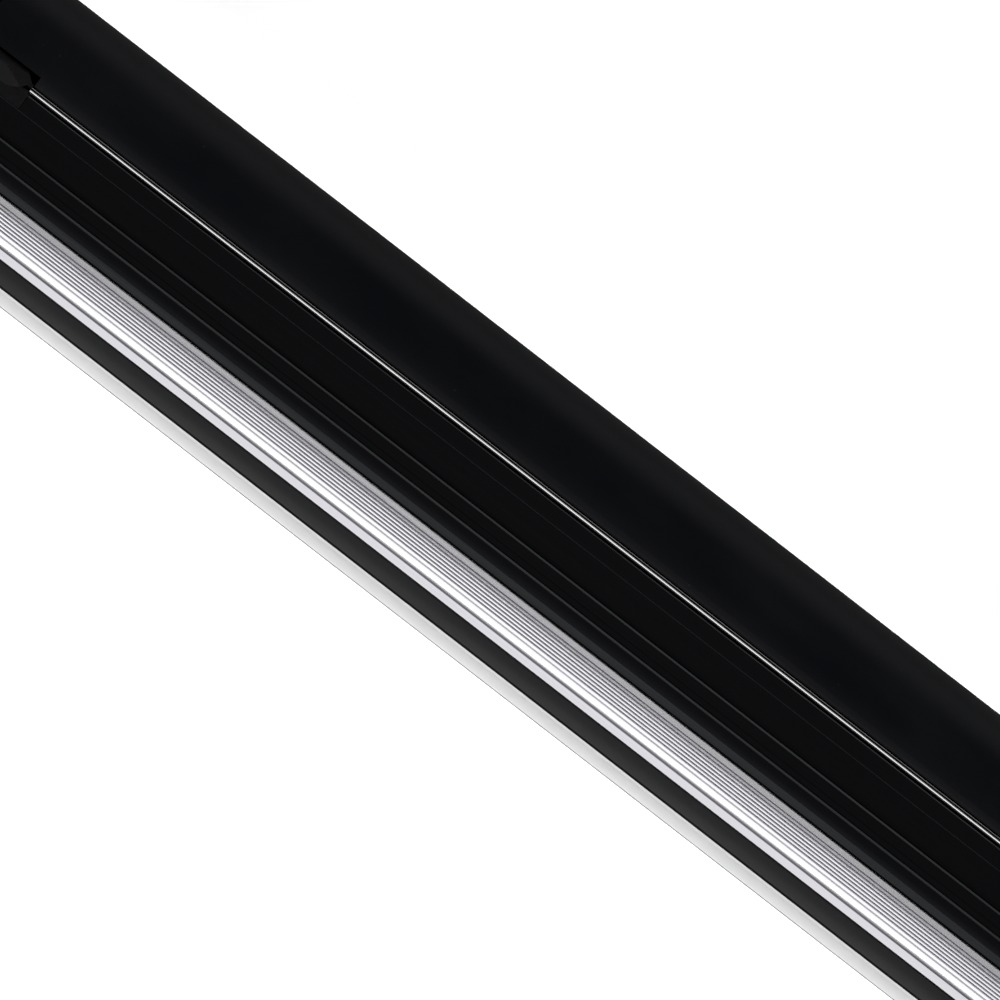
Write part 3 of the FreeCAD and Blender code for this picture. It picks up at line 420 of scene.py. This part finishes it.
def dress_frame():
    """Gives each CAD node the material of its slot."""
    slot_of = {part["node"]: part["material_slot"] for part in frame["record"]["subparts"]}
    for name, obj in NODES.items():
        for slot in obj.material_slots:
            slot.material = SLOTS[slot_of[name]]


# ---------------------------------------------------------------- pieces

def piece(name, verts, faces, material, body):
    """A mesh in metres that moves with one CAD body."""
    mesh = bpy.data.meshes.new(name)
    mesh.from_pydata(verts, [], faces)
    mesh.materials.append(material)
    obj = bpy.data.objects.new(name, mesh)
    bpy.context.collection.objects.link(obj)
    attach(obj, body)
    return obj


def round_bar(name, low, high, material, body):
    """Smooth round bar along X that fills the box from low to high, with a small chamfer at each end."""
    y, z = (low.y + high.y) / 2, (low.z + high.z) / 2
    radius = (high.z - low.z) / 2
    narrow = radius - ROD_CHAMFER
    rings = [(low.x, narrow), (low.x + ROD_CHAMFER, radius), (high.x - ROD_CHAMFER, radius), (high.x, narrow)]
    segments = ROD_SEGMENTS
    verts = []
    for x, r in rings:
        for i in range(segments):
            turn = math.tau * i / segments
            verts.append((x, y + r * math.cos(turn), z + r * math.sin(turn)))
    faces = [tuple(reversed(range(segments))), tuple(range(3 * segments, 4 * segments))]
    for ring in range(3):
        for i in range(segments):
            j = (i + 1) % segments
            a, b = ring * segments, (ring + 1) * segments
            faces.append((a + i, a + j, b + j, b + i))
    bar = piece(name, verts, faces, material, body)
    for face in bar.data.polygons:
        face.use_smooth = len(face.vertices) == 4
    for edge in bar.data.edges:
        ring = edge.vertices[0] // segments
        edge.use_edge_sharp = ring == edge.vertices[1] // segments
    return bar


def flat_shapes(name, shapes, y, material, body):
    """Thin printed or lit shapes on a plane that faces the rear; each is a list of (x, z) in metres."""
    verts = []
    faces = []
    for shape in shapes:
        faces.append(tuple(range(len(verts), len(verts) + len(shape))))
        verts += [(x, y, z) for x, z in shape]
    made = piece(name, verts, faces, material, body)
    build = bmesh.new()
    build.from_mesh(made.data)
    for face in build.faces:
        face.normal_update()
        if face.normal.y < 0:
            face.normal_flip()
    build.to_mesh(made.data)
    build.free()
    return made


def bar_shape(x0, z0, x1, z1, half):
    """Slim hexagonal stroke from one point to the other."""
    along = Vector((x1 - x0, z1 - z0)).normalized()
    side = Vector((-along.y, along.x)) * half
    a, b = Vector((x0, z0)), Vector((x1, z1))
    tip = along * half
    corners = (a, a + tip + side, b - tip + side, b, b - tip - side, a + tip - side)
    return [tuple(corner) for corner in corners]


def digit_shapes(x, z, lit):
    """Seven-segment figure round (x, z), read from the rear, so its right is toward -X."""
    w, h = FIGURE_HALF_WIDTH, FIGURE_HALF_HEIGHT
    ends = {"a": (-w, h, w, h), "b": (w, h, w, 0), "c": (w, 0, w, -h), "d": (-w, -h, w, -h),
            "e": (-w, -h, -w, 0), "f": (-w, 0, -w, h), "g": (-w, 0, w, 0)}
    shapes = []
    for key in lit:
        u0, v0, u1, v1 = ends[key]
        shapes.append(bar_shape(x - u0, z + v0, x - u1, z + v1, FIGURE_HALF_STROKE))
    return shapes


def ring_shapes(x, z, radius, half):
    """A ring as a row of four-cornered shapes."""
    steps = 24
    inner, outer = radius - half, radius + half
    shapes = []
    for i in range(steps):
        a, b = math.tau * i / steps, math.tau * (i + 1) / steps
        corners = ((inner, a), (outer, a), (outer, b), (inner, b))
        shapes.append([(x + r * math.cos(t), z + r * math.sin(t)) for r, t in corners])
    return shapes


def hinge_rods():
    """Each rod from where it comes out of the knuckle's nose."""
    nose_low, nose_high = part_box("hinge_knuckle")
    rods = []
    for side in ("left", "right"):
        name = f"hinge_rod_{side}"
        low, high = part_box(name)
        if side == "left":
            high.x = nose_low.x + NOSE_TIP
        else:
            low.x = nose_high.x - NOSE_TIP
        rod = round_bar(f"rod_{side}", low, high, SLOTS["polished_steel"], "housing")
        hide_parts(name)
        rods.append(rod)
    return rods


def display_figures():
    """Three lit figures behind the display window."""
    low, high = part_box("display_module")
    x, z = (low.x + high.x) / 2, (low.z + high.z) / 2
    shapes = []
    for place, lit in ((1, "abcdef"), (0, "abcdef"), (-1, "bc")):
        shapes += digit_shapes(x + place * FIGURE_PITCH, z, lit)
    flat_shapes("display_figures", shapes, high.y + FIGURES_LIFT,
                glowing("figures_lit", (0.9, 0.06, 0.03), 3.0), "housing")


def button_marks():
    """Small printed marks under the menu buttons: a ring, up, down, and three lines."""
    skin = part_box("control_housing")[1].y + MARKS_LIFT
    shapes = []
    for number in range(1, 5):
        low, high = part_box(f"menu_button_{number}")
        x, z = (low.x + high.x) / 2, (low.z + high.z) / 2 - MARK_BELOW_BUTTON
        r = MARK_HALF
        if number == 4:
            for height in (z - MARK_LINE_PITCH, z, z + MARK_LINE_PITCH):
                shapes.append(bar_shape(x - r, height, x + r, height, MARK_LINE_HALF))
        elif number == 3:
            shapes.append([(x - r, z + r * 0.8), (x, z - r * 0.9), (x + r, z + r * 0.8)])
        elif number == 2:
            shapes.append([(x - r, z - r * 0.8), (x, z + r * 0.9), (x + r, z - r * 0.8)])
        else:
            shapes += ring_shapes(x, z, MARK_RING, MARK_RING_HALF)
    flat_shapes("button_marks", shapes, skin,
                plain_part("mark_paint", (0.62, 0.62, 0.62), (0.72, 0.72, 0.72)), "housing")


# ---------------------------------------------------------------- stage, light, camera

def room():
    """Dim room with a pale band of light round the horizon; the camera itself sees plain near-white."""
    world = bpy.data.worlds.new("studio")
    bpy.context.scene.world = world
    world.use_nodes = True
    nodes = world.node_tree.nodes
    links = world.node_tree.links
    direction = nodes.new("ShaderNodeTexCoord")
    split = nodes.new("ShaderNodeSeparateXYZ")
    links.new(direction.outputs["Generated"], split.inputs["Vector"])
    band = nodes.new("ShaderNodeFloatCurve")
    curve = band.mapping.curves[0]
    for height, glow in ROOM_GLOW:
        if height in (0.0, 1.0):
            curve.points[int(height)].location = (height, glow)
        else:
            curve.points.new(height, glow)
    band.mapping.update()
    scaled = nodes.new("ShaderNodeMapRange")
    scaled.inputs["From Min"].default_value = -1.0
    links.new(split.outputs["Z"], scaled.inputs["Value"])
    links.new(scaled.outputs["Result"], band.inputs["Value"])
    background = nodes["Background"]
    background.inputs["Color"].default_value = (1.0, 1.0, 1.0, 1.0)
    links.new(band.outputs["Value"], background.inputs["Strength"])
    seen = nodes.new("ShaderNodeBackground")
    seen.inputs["Color"].default_value = (0.96, 0.96, 0.965, 1.0)
    path = nodes.new("ShaderNodeLightPath")
    mix = nodes.new("ShaderNodeMixShader")
    links.new(path.outputs["Is Camera Ray"], mix.inputs["Fac"])
    links.new(background.outputs["Background"], mix.inputs[1])
    links.new(seen.outputs["Background"], mix.inputs[2])
    links.new(mix.outputs["Shader"], nodes["World Output"].inputs["Surface"])


def pale_floor():
    """Pale floor that no gloss mirrors."""
    half = FLOOR_HALF
    mesh = bpy.data.meshes.new("floor")
    mesh.from_pydata([(-half, -half, 0), (half, -half, 0), (half, half, 0), (-half, half, 0)], [], [(0, 1, 2, 3)])
    mesh.materials.append(floor_material())
    floor = bpy.data.objects.new("floor", mesh)
    bpy.context.collection.objects.link(floor)
    floor.visible_glossy = False


def softbox(name, place, target, size, strength, only=(), flagged=()):
    """Rectangular area light. Panels of one strength look equally bright, whatever their size and distance.

    only is the objects it lights, where that isn't everything; flagged is those kept out of its light.
    """
    data = bpy.data.lights.new(name, "AREA")
    data.shape = "RECTANGLE"
    data.size, data.size_y = size
    data.energy = strength * PANEL_WATTS * size[0] * size[1]
    light = bpy.data.objects.new(name, data)
    light.location = place
    light.rotation_euler = (Vector(target) - Vector(place)).to_track_quat("-Z", "Y").to_euler()
    light.visible_camera = False
    bpy.context.collection.objects.link(light)
    if only or flagged:
        receivers = bpy.data.collections.new(f"{name}_receivers")
        for obj in only or flagged:
            receivers.objects.link(obj)
        light.light_linking.receiver_collection = receivers
        for entry in receivers.collection_objects:
            entry.light_linking.link_state = "INCLUDE" if only else "EXCLUDE"


def lights(rods):
    """Overhead, front and side panels, with panels of their own for the rods, the silver piece and the shells.

    The hard front strip, which draws the thin lines on the black pieces, is kept off the pale and polished ones.
    """
    middle = (0.0, 0.0, 0.1)
    silver = [NODES["heat_sink"]]
    bright = rods + silver
    edges = bright + [NODES["diffuser"], NODES["hinge_knuckle"]]
    shells = [NODES[name] for name in ("rear_cover_left", "rear_cover_right", "control_housing")]
    softbox("overhead", (0.0, -0.55, 3.05), middle, (3.0, 1.85), 0.52, flagged=bright)
    softbox("rod_line", (0.0, -1.38, 2.75), middle, (3.0, 1.5), 1.55, only=rods)
    softbox("silver_top", (0.0, 0.50, 3.05), middle, (3.0, 1.7), 0.22, only=silver)
    softbox("silver_front", (0.0, -2.25, 2.02), middle, (3.0, 4.9), 1.60, only=silver)
    softbox("silver_rear", (0.0, 2.70, 0.95), middle, (3.0, 1.6), 1.3, only=silver)
    softbox("front", (0.0, -2.08, 2.26), middle, (3.0, 2.2), 2.4, flagged=bright)
    softbox("front_strip", (0.0, -2.10, 2.15), middle, (3.0, 0.6), 8.0, flagged=edges)
    softbox("rear_left", (-2.1, 2.0, 1.5), middle, (1.5, 1.5), 9.0, only=shells)
    softbox("rear_right", (2.1, 2.0, 1.5), middle, (1.5, 1.5), 9.0, only=shells)
    softbox("left", (-2.4, 0.0, 1.6), middle, (3.6, 1.8), 4.8)
    softbox("right", (2.4, 0.0, 1.6), middle, (3.6, 1.8), 4.8)


def camera():
    """Straight above the batten, far off with a long lens, turned so that the batten crosses the picture."""
    rod_low, rod_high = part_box("hinge_rod_right")
    knuckle_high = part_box("hinge_knuckle")[1]
    rod = (rod_low + rod_high) / 2
    data = bpy.data.cameras.new("camera")
    data.sensor_width = SENSOR
    data.lens = LENS
    data.clip_end = 100.0
    cam = bpy.data.objects.new("camera", data)
    reach = PICTURE_WIDTH / SENSOR * LENS
    along = knuckle_high.x - NOSE_TIP + MIDDLE_FROM_NOSE
    cam.location = (along, rod.y - MIDDLE_FROM_ROD, rod.z + reach)
    cam.rotation_euler = (0.0, 0.0, BAR_TURN)
    bpy.context.collection.objects.link(cam)
    bpy.context.scene.camera = cam


dress_frame()
rods = hinge_rods()
display_figures()
button_marks()
room()
pale_floor()
lights(rods)
camera()
bpy.context.scene.view_settings.view_transform = "Standard"
